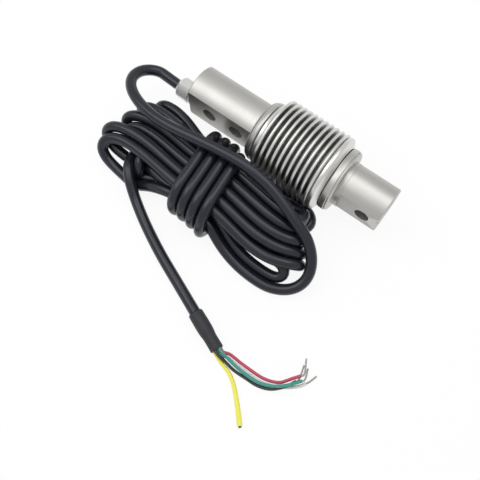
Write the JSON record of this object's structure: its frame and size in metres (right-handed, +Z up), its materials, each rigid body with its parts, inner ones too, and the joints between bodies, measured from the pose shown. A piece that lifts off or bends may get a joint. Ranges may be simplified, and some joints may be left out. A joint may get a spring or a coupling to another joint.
{
  "type": "cantilever beam load cell",
  "caption": "Bending-beam load cell in stainless steel with a metal bellows over the beam, bolt holes through both flattened ends, and its cable tied in a hank.",
  "frame": {"origin": "centre of the cell's box without its cable, on the surface that the bellows rests on", "axes": "+X along the bar from the gland to the load end, +Z up, the ends' flats facing -Y and +Y"},
  "size_m": [0.1764, 0.1507, 0.0432],
  "materials": {
    "satin_steel": "fine machined stainless steel",
    "bright_steel": "polished thin stainless sheet",
    "nickel": "bright nickel plating",
    "cable_sheath": "smooth black cable sheath with a soft sheen",
    "shrink_sleeve": "matt black heat-shrink",
    "red_insulation": "red wire insulation",
    "white_insulation": "white wire insulation",
    "green_insulation": "green wire insulation",
    "black_insulation": "black wire insulation",
    "yellow_sleeving": "yellow sleeving",
    "tinned_copper": "tinned strands",
    "dark_braid": "dull trimmed shield braid",
    "seal_rubber": "black rubber",
    "gauge_foil": "foil on amber film",
    "board_laminate": "green laminate",
    "chip_body": "small black chips"
  },
  "bodies": {
    "root": {"bellows": "bright_steel", "black_wire": "black_insulation", "black_wire_tip": "tinned_copper", "cable_hank": "cable_sheath", "cable_lead": "cable_sheath", "cable_tail": "cable_sheath", "end_sleeve": "shrink_sleeve", "fixed_end_collar": "satin_steel", "gland_body": "nickel", "gland_nut": "nickel", "gland_o_ring": "seal_rubber", "gland_seal": "seal_rubber", "green_wire": "green_insulation", "green_wire_tip": "tinned_copper", "inner_lead_black": "black_insulation", "inner_lead_green": "green_insulation", "inner_lead_red": "red_insulation", "inner_lead_white": "white_insulation", "load_end_collar": "satin_steel", "measuring_body": "satin_steel", "red_wire": "red_insulation", "red_wire_tip": "tinned_copper", "shield_tip": "dark_braid", "strain_gauge_1": "gauge_foil", "strain_gauge_2": "gauge_foil", "strain_gauge_3": "gauge_foil", "strain_gauge_4": "gauge_foil", "terminal_board": "board_laminate", "trim_resistor_1": "chip_body", "trim_resistor_2": "chip_body", "white_wire": "white_insulation", "white_wire_tip": "tinned_copper", "yellow_sleeve": "yellow_sleeving"}
  },
  "joints": []
}
